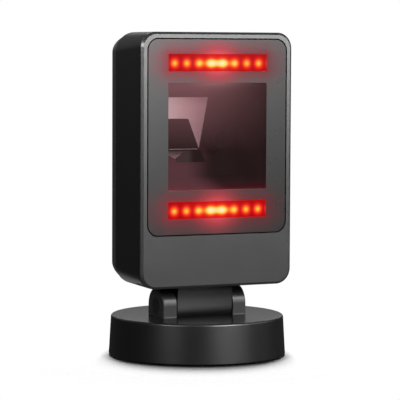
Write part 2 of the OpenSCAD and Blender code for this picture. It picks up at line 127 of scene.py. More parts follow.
# Base, its two ears, and the hinge
BASE_TOP = 19.0 * MM
BASE_R_TOP = 40.2 * MM
BASE_R_LOW = min(BASE_HIGH.x, BASE_HIGH.y)
BASE_WALL = 2.4 * MM
BASE_EDGE = 1.0 * MM
HUB_R = 0.5 * MM
EAR_IN = 14.5 * MM
EAR_OUT = 21.2 * MM
EAR_R = BASE_HIGH.z - HINGE_Z
EAR_EDGE = 0.7 * MM
CAP_R = 4 * MM
PIN_BORE_R = 2.52 * MM
KNUCKLE_R = HINGE_Z - KNUCKLE_LOW.z
KNUCKLE_EDGE = 0.5 * MM
KNUCKLE_BORE_R = 3.5 * MM
KNUCKLE_FLARE = 0.6 * MM
WELL_R = KNUCKLE_R + 0.7 * MM

# Light strips, as the painted glow on the panel and in the window needs them
STRIP_GAP = LED_HIGH.z - LED_LOW.z
STRIP_H = 7.8 * MM
STRIP_MID = (LED_HIGH.z + LED_LOW.z) / 2
STRIP_OFF = STRIP_GAP / 2 - STRIP_H / 2
STRIP_HALF_W = LED_HIGH.x
LED_PITCH = 6.05 * MM
SPOT_X = -0.6 * MM
SPOT_DROP = 0.25 * MM

# How much rougher the ears and the rounded edge are than the base's wall, and the window's opacity
EAR_DULL = 1.8
EDGE_DULL = 1.4
WINDOW_ALPHA = 0.4

# Camera: place, view direction, roll in degrees and focal length in millimetres
CAMERA_PLACE = Vector((-0.4293, -0.8994, 0.14166))
CAMERA_FORWARD = Vector((0.4308, 0.8998, -0.0695))
CAMERA_ROLL = 0.24
CAMERA_LENS = 193.2

# Soft lights: name, azimuth in degrees, height, width, tallness, watts. Each is LIGHT_REACH away
# from the Z axis and aims at LIGHT_AIM on it.
LIGHT_REACH = 1.0
LIGHT_AIM = 0.08
LIGHTS = (
    ("right_high", 20, 0.54, 0.42, 0.16, 12.0),
    ("right_low", 28, 0.22, 0.62, 0.14, 2.4),
    ("front", 5, 0.36, 0.30, 0.20, 4.9),
    ("left", -60, 0.38, 0.45, 0.32, 4.4),
    ("side", 72, 0.35, 0.30, 0.50, 1.2),
    ("behind", 154, 0.33, 1.00, 0.30, 0.75),
    ("back_left", 208, 0.45, 0.90, 0.50, 0.45),
    ("back", 150, 0.75, 0.90, 0.40, 1.5),
    ("back_low", 116, -0.18, 1.40, 0.40, 6.5),
    ("back_under", 170, -0.48, 0.90, 0.25, 0.95),
    ("back_side", 242, -0.18, 1.00, 0.50, 2.8),
)
FLOOR_LIGHT = ("floor_light", 154, 1.22, 0.80, 1.05, 31.0)
WORLD_FILL = 0.036
FLOOR_FADE = 50 * MM
FLOOR_R = 110 * MM
FLOOR_FILL = 0.22


# ---------------------------------------------------------------- mesh helpers

def round_rect(width, height, radius, y, z=HEAD_Z):
    """Points round a rectangle with round corners, facing the front, at depth y."""
    radius = max(radius, 0.02 * MM)
    points = []
    for turn, (sx, sz) in enumerate(((1, 1), (-1, 1), (-1, -1), (1, -1))):
        cx = sx * (width / 2 - radius)
        cz = z + sz * (height / 2 - radius)
        for i in range(CORNER_STEPS + 1):
            angle = math.radians(90 * turn + 90 * i / CORNER_STEPS)
            points.append(Vector((cx + radius * math.cos(angle), y, cz + radius * math.sin(angle))))
    return points


def circle(radius, z, steps=192):
    """Points round a level circle about the Z axis."""
    return [
        Vector((radius * math.cos(2 * math.pi * i / steps), radius * math.sin(2 * math.pi * i / steps), z))
        for i in range(steps)
    ]


def half_round(radius, x, straight_to, steps=40):
    """A half circle over the hinge axis, at x, with two straight legs down to a height."""
    points = [Vector((x, -radius, straight_to))]
    for i in range(steps + 1):
        angle = math.pi * i / steps
        points.append(Vector((x, -radius * math.cos(angle), HINGE_Z + radius * math.sin(angle))))
    points.append(Vector((x, radius, straight_to)))
    return points


def arc(steps=6):
    """Inset and advance of a rounded edge of radius 1, from the side to the face."""
    return [
        (1 - math.cos(math.pi / 2 * i / steps), math.sin(math.pi / 2 * i / steps)) for i in range(steps + 1)
    ]


def loft(name, rings, closed=False):
    """A solid skinned over rings with the same number of points. A closed one joins its last ring
    to its first, and any other is capped at both ends."""
    bm = bmesh.new()
    rows = [[bm.verts.new(p) for p in ring] for ring in rings]
    following = rows[1:] + ([rows[0]] if closed else [])
    for a, b in zip(rows, following):
        for i in range(len(a)):
            j = (i + 1) % len(a)
            bm.faces.new((a[i], a[j], b[j], b[i]))
    if not closed:
        bm.faces.new(rows[0])
        bm.faces.new(rows[-1])
    bmesh.ops.recalc_face_normals(bm, faces=bm.faces)
    return new_object(name, bm)


def new_object(name, bm):
    """An object in the scene with the mesh that bm holds. It frees bm."""
    mesh = bpy.data.meshes.new(name)
    bm.to_mesh(mesh)
    bm.free()
    piece = bpy.data.objects.new(name, mesh)
    bpy.context.scene.collection.objects.link(piece)
    return piece


def rod(name, radius, start, end, steps=48):
    """A round bar between two points."""
    start, end = Vector(start), Vector(end)
    along = (end - start).normalized()
    side = along.orthogonal().normalized()
    across = along.cross(side)
    ring = [
        radius * (math.cos(2 * math.pi * i / steps) * side + math.sin(2 * math.pi * i / steps) * across)
        for i in range(steps)
    ]
    return loft(name, [[start + p for p in ring], [end + p for p in ring]])


def brick(name, low, high):
    """A plain box, used to cut other pieces or joined to one as a flange."""
    low, high = Vector(low), Vector(high)
    rings = [
        [Vector((x, y, z)) for x, z in ((low.x, low.z), (high.x, low.z), (high.x, high.z), (low.x, high.z))]
        for y in (low.y, high.y)
    ]
    return loft(name, rings)


def bake_modifiers(piece):
    """Replaces a piece's mesh by what its modifiers make of it."""
    bpy.context.view_layer.update()
    graph = bpy.context.evaluated_depsgraph_get()
    piece.data = bpy.data.meshes.new_from_object(piece.evaluated_get(graph))
    piece.modifiers.clear()


def combine(piece, tools, operation):
    """Cuts tools from a piece, or joins them to it, and deletes the tools."""
    for tool in tools:
        step = piece.modifiers.new("combine", "BOOLEAN")
        step.operation = operation
        step.solver = "EXACT"
        step.object = tool
        bake_modifiers(piece)
        bpy.data.objects.remove(tool)


def soften(piece, width, segments=3, angle=28):
    """Rounds a piece's sharp edges and smooths its shading."""
    for face in piece.data.polygons:
        face.use_smooth = True
    bevel = piece.modifiers.new("edges", "BEVEL")
    bevel.width = width
    bevel.segments = segments
    bevel.limit_method = "ANGLE"
    bevel.angle_limit = math.radians(angle)
    bevel.use_clamp_overlap = True
    normals = piece.modifiers.new("normals", "WEIGHTED_NORMAL")
    normals.keep_sharp = True
    normals.weight = 60
    bake_modifiers(piece)


def place(piece, body, node, material):
    """Puts a finished piece in place of a CAD node."""
    piece.data.materials.clear()
    piece.data.materials.append(material)
    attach(piece, body)
    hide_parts(node)


# ---------------------------------------------------------------- materials

class Shader:
    """A small helper that adds nodes to one material."""

    def __init__(self, name):
        self.material = bpy.data.materials.new(name)
        self.material.use_nodes = True
        self.tree = self.material.node_tree
        self.principled = self.tree.nodes["Principled BSDF"]
        where = self.add("ShaderNodeTexCoord")
        self.place = where.outputs["Object"]
        self.facing = where.outputs["Normal"]

    def add(self, kind, **settings):
        """Adds a node and sets its attributes."""
        node = self.tree.nodes.new(kind)
        for key, value in settings.items():
            setattr(node, key, value)
        return node

    def link(self, source, target):
        """Joins an output to an input."""
        self.tree.links.new(source, target)

    def put(self, target, value):
        """Gives an input a number or links an output to it."""
        if isinstance(value, (int, float)):
            target.default_value = value
        else:
            self.link(value, target)

    def math(self, operation, *values, clamp=False):
        """One step of arithmetic on numbers and outputs."""
        node = self.add("ShaderNodeMath", operation=operation, use_clamp=clamp)
        for socket, value in zip(node.inputs, values):
            self.put(socket, value)
        return node.outputs[0]

    def split(self, vector):
        """The X, Y and Z outputs of a vector."""
        node = self.add("ShaderNodeSeparateXYZ")
        self.link(vector, node.inputs[0])
        return node.outputs

    def noise(self, size, detail=3, roughness=0.5):
        """Noise whose blobs are about size metres across."""
        node = self.add("ShaderNodeTexNoise")
        self.link(self.place, node.inputs["Vector"])
        node.inputs["Scale"].default_value = 1 / size
        node.inputs["Detail"].default_value = detail
        node.inputs["Roughness"].default_value = roughness
        return node.outputs["Fac"]

    def ramp(self, factor, stops):
        """A colour ramp with a stop for each pair of position and colour."""
        node = self.add("ShaderNodeValToRGB")
        elements = node.color_ramp.elements
        while len(elements) < len(stops):
            elements.new(0.5)
        for element, (position, colour) in zip(elements, stops):
            element.position = position
            element.color = (*colour, 1)
        self.link(factor, node.inputs["Fac"])
        return node.outputs["Color"]

    def spread(self, factor, low, high):
        """Maps noise, which is mostly from 0.3 to 0.7, to the range low to high."""
        return self.between(factor, (0.3, 0.7), (low, high))

    def between(self, value, source, target, smooth=False):
        """Maps the source range to the target range, and holds the ends outside it."""
        node = self.add("ShaderNodeMapRange", interpolation_type="SMOOTHSTEP" if smooth else "LINEAR")
        self.link(value, node.inputs["Value"])
        node.inputs["From Min"].default_value, node.inputs["From Max"].default_value = source
        node.inputs["To Min"].default_value, node.inputs["To Max"].default_value = target
        return node.outputs["Result"]

    def set(self, **values):
        """Sets the main shader's own inputs, named with _ for a space."""
        for key, value in values.items():
            self.principled.inputs[key.replace("_", " ")].default_value = value

    def bump(self, height, strength, distance):
        """Fine relief from a height between 0 and 1."""
        node = self.add("ShaderNodeBump")
        node.inputs["Strength"].default_value = strength
        node.inputs["Distance"].default_value = distance
        self.link(height, node.inputs["Height"])
        self.link(node.outputs["Normal"], self.principled.inputs["Normal"])


def shade(colour, factor):
    """A colour made lighter or darker by a factor."""
    return tuple(min(c * factor, 1) for c in colour)


def moulded(name, colour, roughness, grain=0.25 * MM, depth=0.01 * MM, specular=0.5, vary=0.12,
            marks=0.04):
    """Moulded plastic: a fine sparked grain, slow changes of tone and faint handling marks."""
    s = Shader(name)
    tone = s.noise(14 * MM, detail=4)
    s.link(s.ramp(tone, [(0.3, shade(colour, 1 - vary)), (0.7, shade(colour, 1 + vary))]),
           s.principled.inputs["Base Color"])
    wear = s.noise(9 * MM, detail=4, roughness=0.6)
    s.link(s.spread(wear, roughness - marks, roughness + marks), s.principled.inputs["Roughness"])
    s.bump(s.noise(grain, detail=2), 0.35, depth)
    s.set(Specular_IOR_Level=specular)
    return s


def metal(name, colour, roughness, along=(1, 1, 1)):
    """Metal with a drawn or rolled grain."""
    s = Shader(name)
    stretch = s.add("ShaderNodeMapping")
    stretch.inputs["Scale"].default_value = along
    s.link(s.place, stretch.inputs["Vector"])
    grain = s.add("ShaderNodeTexNoise")
    s.link(stretch.outputs["Vector"], grain.inputs["Vector"])
    grain.inputs["Scale"].default_value = 1 / (0.6 * MM)
    grain.inputs["Detail"].default_value = 4
    s.link(s.ramp(grain.outputs["Fac"], [(0.3, shade(colour, 0.85)), (0.7, shade(colour, 1.1))]),
           s.principled.inputs["Base Color"])
    s.link(s.spread(grain.outputs["Fac"], roughness - 0.06, roughness + 0.08),
           s.principled.inputs["Roughness"])
    s.bump(grain.outputs["Fac"], 0.2, 0.01 * MM)
    s.set(Metallic=1.0)
    return s.material


def from_strips(s, drop=0.0):
    """Sideways place, and distance up or down from the nearer strip's middle line."""
    where = s.split(s.place)
    off = s.math("ABSOLUTE", s.math("SUBTRACT", where["Z"], STRIP_MID - drop))
    return where["X"], s.math("SUBTRACT", off, STRIP_OFF)


def bell(s, value, width):
    """A bell curve of a distance: 1 at 0, and about a third at width."""
    ratio = s.math("DIVIDE", value, width)
    return s.math("EXPONENT", s.math("MULTIPLY", s.math("MULTIPLY", ratio, ratio), -1.0))


def fall(s, value, width):
    """Falls from 1 at 0 to about a third at width, and goes on falling slowly."""
    return s.math("EXPONENT", s.math("DIVIDE", value, -width))


def painted_panel_glow(s):
    """Painted red glow round the strips in the panel's surface, strongest at the middle. It also tints what
    the panel reflects there, as a painted red reflection. Both grow weaker towards the panel's right side."""
    edge_aside = 5 * MM
    edge_above = 3.75 * MM
    edge_strength = (0.19, 0.085)
    middle_size = (8.5 * MM, 7.5 * MM)
    middle_strength = 0.62
    tint_strength = (1.0, 0.7)
    x, dz = from_strips(s)
    beside = s.math("MAXIMUM", s.math("SUBTRACT", s.math("ABSOLUTE", x), STRIP_HALF_W), 0.0)
    above = s.math("MAXIMUM", s.math("SUBTRACT", s.math("ABSOLUTE", dz), STRIP_H / 2), 0.0)
    edge = s.math("MULTIPLY", fall(s, beside, edge_aside), fall(s, above, edge_above))
    middle = s.math("MULTIPLY", bell(s, x, middle_size[0]), bell(s, dz, middle_size[1]))
    width = (PANEL_LOW.x, PANEL_HIGH.x)
    painted_edge_glow = s.math("MULTIPLY", edge, s.between(x, width, edge_strength))
    light = s.math("ADD", painted_edge_glow, s.math("MULTIPLY", middle, middle_strength))
    # Painted glow: the panel's own emission stands in for the strips' light.
    s.set(Emission_Color=(1.0, 0.08, 0.11, 1))
    s.link(light, s.principled.inputs["Emission Strength"])
    # Painted red reflection: what the panel reflects near the strips is tinted red.
    tint = s.math("ADD", edge, middle, clamp=True)
    tint = s.ramp(tint, [(0.0, (1, 1, 1)), (0.6, (1, 0.45, 0.5)), (1.0, (0.9, 0.2, 0.25))])
    scaled = s.add("ShaderNodeVectorMath", operation="SCALE")
    s.link(tint, scaled.inputs[0])
    s.link(s.between(x, width, tint_strength), scaled.inputs["Scale"])
    s.link(scaled.outputs[0], s.principled.inputs["Specular Tint"])


def make_front(name, colour, roughness, specular=0.5, depth=0.004 * MM):
    """The front's smoother plastic, with a finer grain and less variation."""
    return moulded(name, colour, roughness, grain=0.3 * MM, depth=depth, specular=specular,
                   vary=0.05, marks=0.008)


def make_window():
    """Dark tinted pane that lets the inside show, with the strips' red light painted on it as a glow."""
    s = Shader("tinted_window")
    film = s.noise(18 * MM, detail=2)
    s.link(s.ramp(film, [(0.3, (0.006, 0.003, 0.003)), (0.7, (0.010, 0.005, 0.005))]),
           s.principled.inputs["Base Color"])
    s.link(s.spread(s.noise(7 * MM, detail=4), 0.05, 0.10), s.principled.inputs["Roughness"])
    # Painted light: the emission below paints the strips' red light on the pane. It fades down from the top
    # and towards the right, and is brightest just under the top edge and along the bottom edge.
    painted_veil_depth = 31 * MM
    painted_veil_strength = 0.082
    aside_width = 35 * MM
    glow_depth = 1.8 * MM
    glow_half_w = 11 * MM
    glow_strength = 0.09
    rim_depth = 1.4 * MM
    rim_strength = 0.042
    painted_even_glow = 0.006
    where = s.split(s.place)
    x, z = where["X"], where["Z"]
    from_top = s.math("SUBTRACT", SCAN_HIGH.z, z)
    from_low = s.math("SUBTRACT", z, SCAN_LOW.z)
    aside = s.math("MINIMUM", s.math("SUBTRACT", 0.93, s.math("DIVIDE", x, aside_width)), 1.15)
    painted_veil = s.math("SUBTRACT", 1.0, s.math("DIVIDE", from_top, painted_veil_depth), clamp=True)
    painted_veil = s.math("MULTIPLY", s.math("MULTIPLY", painted_veil, painted_veil_strength), aside)
    glow = s.math("MULTIPLY", fall(s, from_top, glow_depth), bell(s, x, glow_half_w))
    rim = fall(s, from_low, rim_depth)
    glow = s.math("MULTIPLY", glow, glow_strength)
    painted_haze = s.math("ADD", glow, s.math("MULTIPLY", rim, rim_strength))
    painted_haze = s.math("ADD", s.math("ADD", painted_haze, painted_veil), painted_even_glow)
    s.link(s.ramp(rim, [(0.0, (1.0, 0.42, 0.46)), (0.3, (1.0, 0.06, 0.12))]),
           s.principled.inputs["Emission Color"])
    s.set(Alpha=WINDOW_ALPHA)
    s.link(s.math("MULTIPLY", painted_haze, 1 / WINDOW_ALPHA), s.principled.inputs["Emission Strength"])
    return s.material


def make_red_window():
    """Frosted red acrylic, with the hot spots and bloom of the lamps behind it painted on as glow."""
    spot_r = 1.85 * MM
    spot_heat = 0.45
    middle_size = (6.2 * MM, 1.5 * MM)
    middle_heat = 0.55
    bloom_size = (9 * MM, 6 * MM)
    bloom_heat = 0.085
    s = Shader("red_window")
    x, dz = from_strips(s, drop=SPOT_DROP)
    x = s.math("SUBTRACT", x, SPOT_X)
    step = s.math("SUBTRACT", s.math("FRACT", s.math("DIVIDE", x, LED_PITCH)), 0.5)
    near = s.math("MULTIPLY", step, LED_PITCH)
    distance = s.math("SQRT", s.math("ADD", s.math("MULTIPLY", near, near), s.math("MULTIPLY", dz, dz)))
    spot = bell(s, distance, spot_r)
    middle = s.math("MULTIPLY", bell(s, x, middle_size[0]), bell(s, dz, middle_size[1]))
    bloom = s.math("MULTIPLY", bell(s, x, bloom_size[0]), bell(s, dz, bloom_size[1]))
    heat = s.math("ADD", s.math("MULTIPLY", spot, spot_heat), s.math("MULTIPLY", middle, middle_heat))
    heat = s.math("ADD", heat, s.math("MULTIPLY", bloom, bloom_heat))
    s.link(s.ramp(heat, [(0.0, (0.37, 0.0, 0.001)), (0.105, (0.72, 0.02, 0.015)),
                         (0.21, (0.95, 0.08, 0.02)), (0.336, (1.0, 0.28, 0.02)),
                         (0.46, (0.97, 0.58, 0.07)), (0.66, (1.0, 0.74, 0.24)),
                         (1.0, (1.0, 0.9, 0.56))]),
           s.principled.inputs["Emission Color"])
    s.link(s.ramp(s.noise(2 * MM), [(0.3, (0.04, 0.0, 0.0)), (0.7, (0.06, 0.001, 0.001))]),
           s.principled.inputs["Base Color"])
    s.set(Roughness=0.25, Emission_Strength=1.0, Specular_IOR_Level=0.02)
    return s.material


def make_hood():
    """The dark tunnel behind the window, its lower left corner given a painted glow of the lower strip's
    light.
    """
    wash_x = (-7 * MM, 10.5 * MM)
    wash_z = (92 * MM, 98 * MM)
    s = moulded("hood_lit", (0.009, 0.005, 0.0055), 0.7, specular=0.12)
    where = s.split(s.place)
    left = s.between(where["X"], wash_x, (0.19, 0.0), smooth=True)
    low = s.between(where["Z"], wash_z, (1.0, 0.1), smooth=True)
    # Painted light: emission where the lower strip's light would fall.
    s.set(Emission_Color=(1.0, 0.36, 0.45, 1))
    s.link(s.math("MULTIPLY", left, low), s.principled.inputs["Emission Strength"])
    return s.material


def make_bracket():
    """Pale plate inside, with a painted glow of the strips' light on it and painted shade under the engine
    block.
    """
    shade_z = (95.5 * MM, 98 * MM)
    aside_width = 18 * MM
    s = moulded("bracket_pale", (0.6, 0.36, 0.39), 0.45)
    where = s.split(s.place)
    # Painted shade under the engine block, and a painted glow of the strips' light above it.
    wash = s.between(where["Z"], shade_z, (0.07, 0.62), smooth=True)
    aside = s.math("SUBTRACT", 0.33, s.math("DIVIDE", where["X"], aside_width))
    s.link(s.ramp(aside, [(0.3, (1.0, 0.48, 0.54)), (0.95, (1.0, 0.70, 0.72))]),
           s.principled.inputs["Emission Color"])
    s.link(s.math("MULTIPLY", wash, aside), s.principled.inputs["Emission Strength"])
    return s.material


def make_engine_black():
    """The imager block's dark plastic, its foot given a little painted light towards the left."""
    lit_x = (-5.5 * MM, -2.5 * MM)
    foot_top_z = (95.4 * MM, 95.7 * MM)
    s = moulded("engine_black", (0.006, 0.004, 0.004), 0.7, specular=0.12)
    where = s.split(s.place)
    left = s.between(where["X"], lit_x, (0.085, 0.0))
    low = s.between(where["Z"], foot_top_z, (1.0, 0.0))
    # Painted light on the left end of the foot.
    s.set(Emission_Color=(1.0, 0.62, 0.62, 1))
    s.link(s.math("MULTIPLY", left, low), s.principled.inputs["Emission Strength"])
    return s.material


def make_case(name):
    """The casings' black plastic."""
    return moulded(name, (0.005, 0.005, 0.0052), 0.44, specular=0.45, marks=0.015)


def make_base_black():
    """The base's plastic: smoother on its flat top, rougher on the ears, with painted shade in the well."""
    s = moulded("base_black", (0.005, 0.005, 0.0052), 0.30, depth=0.003 * MM, specular=0.72, marks=0.01)
    rough = s.principled.inputs["Roughness"].links[0].from_socket
    facing = s.split(s.facing)
    where = s.split(s.place)
    rounded = s.between(facing["Z"], (0.15, 0.5), (1.0, EDGE_DULL))
    flat = s.between(facing["Z"], (0.95, 0.999), (1.0, 0.6 / EDGE_DULL))
    flat = s.math("MULTIPLY", flat, rounded)
    ears = s.between(where["Z"], (BASE_TOP + 0.1 * MM, BASE_TOP + 0.4 * MM), (0.0, 1.0))
    upright = s.between(facing["Z"], (0.05, 0.4), (EAR_DULL, 0.05))
    ears = s.math("ADD", s.math("MULTIPLY", ears, upright), 1.0)
    s.link(s.math("MULTIPLY", s.math("MULTIPLY", rough, ears), flat), s.principled.inputs["Roughness"])
    # Painted shade: what the base reflects is darkened inside the well under the knuckle.
    across = s.math("DIVIDE", s.math("ABSOLUTE", where["X"]), EAR_IN)
    along = s.math("DIVIDE", s.math("ABSOLUTE", where["Y"]), KNUCKLE_R + MM)
    inside = s.math("LESS_THAN", s.math("MAXIMUM", across, along), 1.0)
    below = s.math("LESS_THAN", where["Z"], BASE_TOP - 0.05 * MM)
    s.link(s.ramp(s.math("MULTIPLY", inside, below), [(0.0, (1, 1, 1)), (1.0, (0.06, 0.06, 0.06))]),
           s.principled.inputs["Specular Tint"])
    return s.material


def make_knuckle_black():
    """The hinge knuckle's plastic, with painted shade towards its underside, which lies in the well."""
    s = make_case("knuckle_black")
    where = s.split(s.place)
    # Painted shade: reflections fade out towards the knuckle's underside.
    up = s.between(where["Z"], (BASE_TOP - 0.5 * MM, BASE_TOP + 4.5 * MM), (0.0, 1.0))
    s.link(s.ramp(up, [(0.0, (0.04, 0.04, 0.04)), (1.0, (0.9, 0.9, 0.9))]),
           s.principled.inputs["Specular Tint"])
    return s.material


def make_led():
    """A lit lamp behind the red window."""
    s = Shader("led_lit")
    s.link(s.ramp(s.noise(0.8 * MM), [(0.3, (1.0, 0.25, 0.04)), (0.7, (1.0, 0.5, 0.12))]),
           s.principled.inputs["Emission Color"])
    s.set(Emission_Strength=4.0, Roughness=0.2)
    return s.material


def make_board():
    """Green solder mask with copper tracks just showing through it."""
    s = Shader("circuit_board")
    tracks = s.add("ShaderNodeTexBrick")
    s.link(s.place, tracks.inputs["Vector"])
    tracks.inputs["Scale"].default_value = 260
    tracks.inputs["Mortar Size"].default_value = 0.03
    tracks.inputs["Color1"].default_value = (0.012, 0.10, 0.035, 1)
    tracks.inputs["Color2"].default_value = (0.016, 0.13, 0.045, 1)
    tracks.inputs["Mortar"].default_value = (0.04, 0.22, 0.07, 1)
    s.link(tracks.outputs["Color"], s.principled.inputs["Base Color"])
    s.bump(tracks.outputs["Fac"], 0.3, 0.03 * MM)
    s.set(Roughness=0.3)
    return s.material


def make_lens():
    """Coated glass, with a painted violet sheen towards its edge."""
    s = Shader("lens_glass")
    coat = s.add("ShaderNodeLayerWeight")
    coat.inputs["Blend"].default_value = 0.4
    # Painted sheen: the base colour turns violet towards the edge.
    s.link(s.ramp(coat.outputs["Facing"], [(0.2, (0.004, 0.005, 0.01)), (0.8, (0.03, 0.012, 0.05))]),
           s.principled.inputs["Base Color"])
    s.set(Roughness=0.03, Alpha=0.6)
    return s.material


knuckle_black = make_knuckle_black()
engine_black = make_engine_black()
hood_lit = make_hood()

MATERIALS = {
    "case_black": make_case("case_black").material,
    "base_black": make_base_black(),
    "front_grey": make_front("front_grey", (0.024, 0.024, 0.0243), 0.26, specular=1.0).material,
    "plate_black": moulded("plate_black", (0.01, 0.01, 0.01), 0.6).material,
    "steel": metal("steel", (0.55, 0.56, 0.58), 0.32, along=(1, 1, 6)),
    "rubber": moulded("rubber", (0.012, 0.012, 0.012), 0.8, grain=0.5 * MM, depth=0.03 * MM).material,
    "bush_plastic": moulded("bush_plastic", (0.75, 0.73, 0.66), 0.45).material,
    "foam_tape": moulded("foam_tape", (0.005, 0.005, 0.005), 0.95, grain=0.4 * MM, depth=0.08 * MM,
                         specular=0.05).material,
    "tinted_window": make_window(),
    "red_window": make_red_window(),
    "hood_black": moulded("hood_black", (0.009, 0.009, 0.0095), 0.6, specular=0.3).material,
    "bracket_pale": make_bracket(),
    "lens_glass": make_lens(),
    "circuit_board": make_board(),
    "reflector_white": moulded("reflector_white", (0.8, 0.75, 0.72), 0.3).material,
    "led_lit": make_led(),
    "wire_red": moulded("wire_red", (0.45, 0.02, 0.02), 0.4).material,
    "ribbon": moulded("ribbon", (0.5, 0.26, 0.06), 0.3, grain=0.6 * MM).material,
    "gold_contact": metal("gold_contact", (0.83, 0.6, 0.22), 0.22, along=(1, 0.2, 1)),
}

panel_material = make_front("panel_grey", (0.012, 0.012, 0.0122), 0.28, specular=0.58, depth=0.001 * MM)
painted_panel_glow(panel_material)
MATERIALS["panel_grey"] = panel_material.material


# ---------------------------------------------------------------- head

def inset_ring(inset, y, radius=HEAD_R):
    """A ring round the head, inset from its outline. radius is the corner's before the inset."""
    return round_rect(HEAD_W - 2 * inset, HEAD_H - 2 * inset, radius - inset, y)


def panel_ring(inset, y, radius=None):
    """A ring round the window panel, inset from the panel's edge."""
    width = PANEL_HIGH.x - PANEL_LOW.x - 2 * inset
    height = PANEL_HIGH.z - PANEL_LOW.z - 2 * inset
    return round_rect(width, height, PANEL_R - inset if radius is None else radius, y,
                      (PANEL_LOW.z + PANEL_HIGH.z) / 2)


def make_front_frame():
    """The front face with its chamfer, its groove and the ledge behind the window panel."""
    back = FACE_Y + FRAME_T
    rings = [
        inset_ring(0, back),
        inset_ring(0, FACE_Y + FACE_CHAMFER),
        inset_ring(FACE_CHAMFER_W, FACE_Y),
        panel_ring(-PANEL_GAP, FACE_Y),
        panel_ring(-PANEL_GAP, LEDGE_FRONT),
        panel_ring(LEDGE_W, LEDGE_FRONT, LEDGE_R),
        panel_ring(LEDGE_W, LEDGE_BACK, LEDGE_R),
        inset_ring(LIP_INSET, LEDGE_BACK, HOUSING_R),
        inset_ring(LIP_INSET, back, HOUSING_R),
    ]
    piece = loft("front_frame_moulding", rings, closed=True)
    posts = [
        rod("post", FRAME_POST_R, (x, LEDGE_BACK - 0.2 * MM, z), (x, FRAME_HIGH.y, z))
        for x, z in FRAME_SCREWS
    ]
    combine(piece, posts, "UNION")
    soften(piece, 0.12 * MM)
    place(piece, "head", "front_frame", MATERIALS["front_grey"])


def make_window_panel():
    """The flush panel with its three apertures."""
    depth = PANEL_HIGH.y
    piece = loft("window_panel_moulding", [panel_ring(PANEL_INSET, FACE_Y), panel_ring(PANEL_INSET, depth)])
    front = FACE_Y - MM
    behind = depth + MM
    clear = 0.05 * MM
    half = SCAN_HIGH.x + clear
    cuts = [brick("cut", (-half, front, SCAN_LOW.z - clear), (half, behind, SCAN_HIGH.z + clear))]
    for side in (-1, 1):
        middle = STRIP_MID + side * STRIP_OFF
        cuts.append(brick("cut", (-half, front, middle - STRIP_H / 2), (half, behind, middle + STRIP_H / 2)))
    combine(piece, cuts, "DIFFERENCE")
    soften(piece, 0.08 * MM, segments=2)
    place(piece, "head", "window_panel", MATERIALS["panel_grey"])


def make_panel_tape():
    """Foam behind the panel's border. It also fills the bottom of the groove round the panel."""
    rings = [
        panel_ring(-PANEL_GAP, PANEL_HIGH.y),
        panel_ring(-PANEL_GAP, LEDGE_FRONT),
        panel_ring(LEDGE_W - TAPE_INSET, LEDGE_FRONT, LEDGE_R),
        panel_ring(LEDGE_W - TAPE_INSET, PANEL_HIGH.y, LEDGE_R),
    ]
    piece = loft("panel_tape_foam", rings, closed=True)
    soften(piece, 0.04 * MM, segments=1)
    place(piece, "head", "panel_tape", MATERIALS["foam_tape"])


def make_main_housing():
    """The middle casing, with the bulkhead round the hood and the posts for the rear screws."""
    front = HOUSING_LOW.y
    back = HOUSING_HIGH.y
    rings = []
    for i in range(HOUSING_STEPS + 1):
        along = i / HOUSING_STEPS
        rings.append(inset_ring(0, front + (back - front) * along, HEAD_R + (REAR_R - HEAD_R) * along))
    rings += [inset_ring(WALL, back, HOUSING_R), inset_ring(WALL, front, HOUSING_R)]
    piece = loft("main_housing_moulding", rings, closed=True)
    wall = loft("bulkhead", [
        inset_ring(WALL - 0.1 * MM, BULKHEAD_FRONT, HOUSING_R),
        inset_ring(WALL - 0.1 * MM, BULKHEAD_BACK, HOUSING_R),
    ])
    half = SCAN_HIGH.x + 2.7 * MM
    over = 2.3 * MM
    hole = brick("cut", (-half, BULKHEAD_FRONT - MM, SCAN_LOW.z - over),
                 (half, BULKHEAD_BACK + MM, SCAN_HIGH.z + over))
    combine(wall, [hole], "DIFFERENCE")
    posts = [
        rod("post", HOUSING_POST_R, (x, BULKHEAD_BACK - 0.3 * MM, z), (x, back - 0.3 * MM, z))
        for x, z in REAR_SCREWS
    ]
    combine(piece, [wall] + posts, "UNION")
    soften(piece, 0.18 * MM)
    place(piece, "head", "main_housing", MATERIALS["case_black"])


def rear_rings(inset, back):
    """Rings of the rear cover's rounding, from its open edge to its flat back."""
    start = math.asin(((HOUSING_HIGH.y + 0.3 * MM) / back) ** (REAR_POWER / 2))
    radius = REAR_R - inset
    draw = min(REAR_DRAW, radius - 0.1 * MM)
    rings = []
    for i in range(REAR_STEPS + 1):
        angle = start + (math.pi / 2 - start) * i / REAR_STEPS
        drawn = inset + draw * (1 - math.cos(angle) ** (2 / REAR_POWER) if i < REAR_STEPS else 1)
        rings.append(inset_ring(drawn, back * math.sin(angle) ** (2 / REAR_POWER), REAR_R))
    return rings


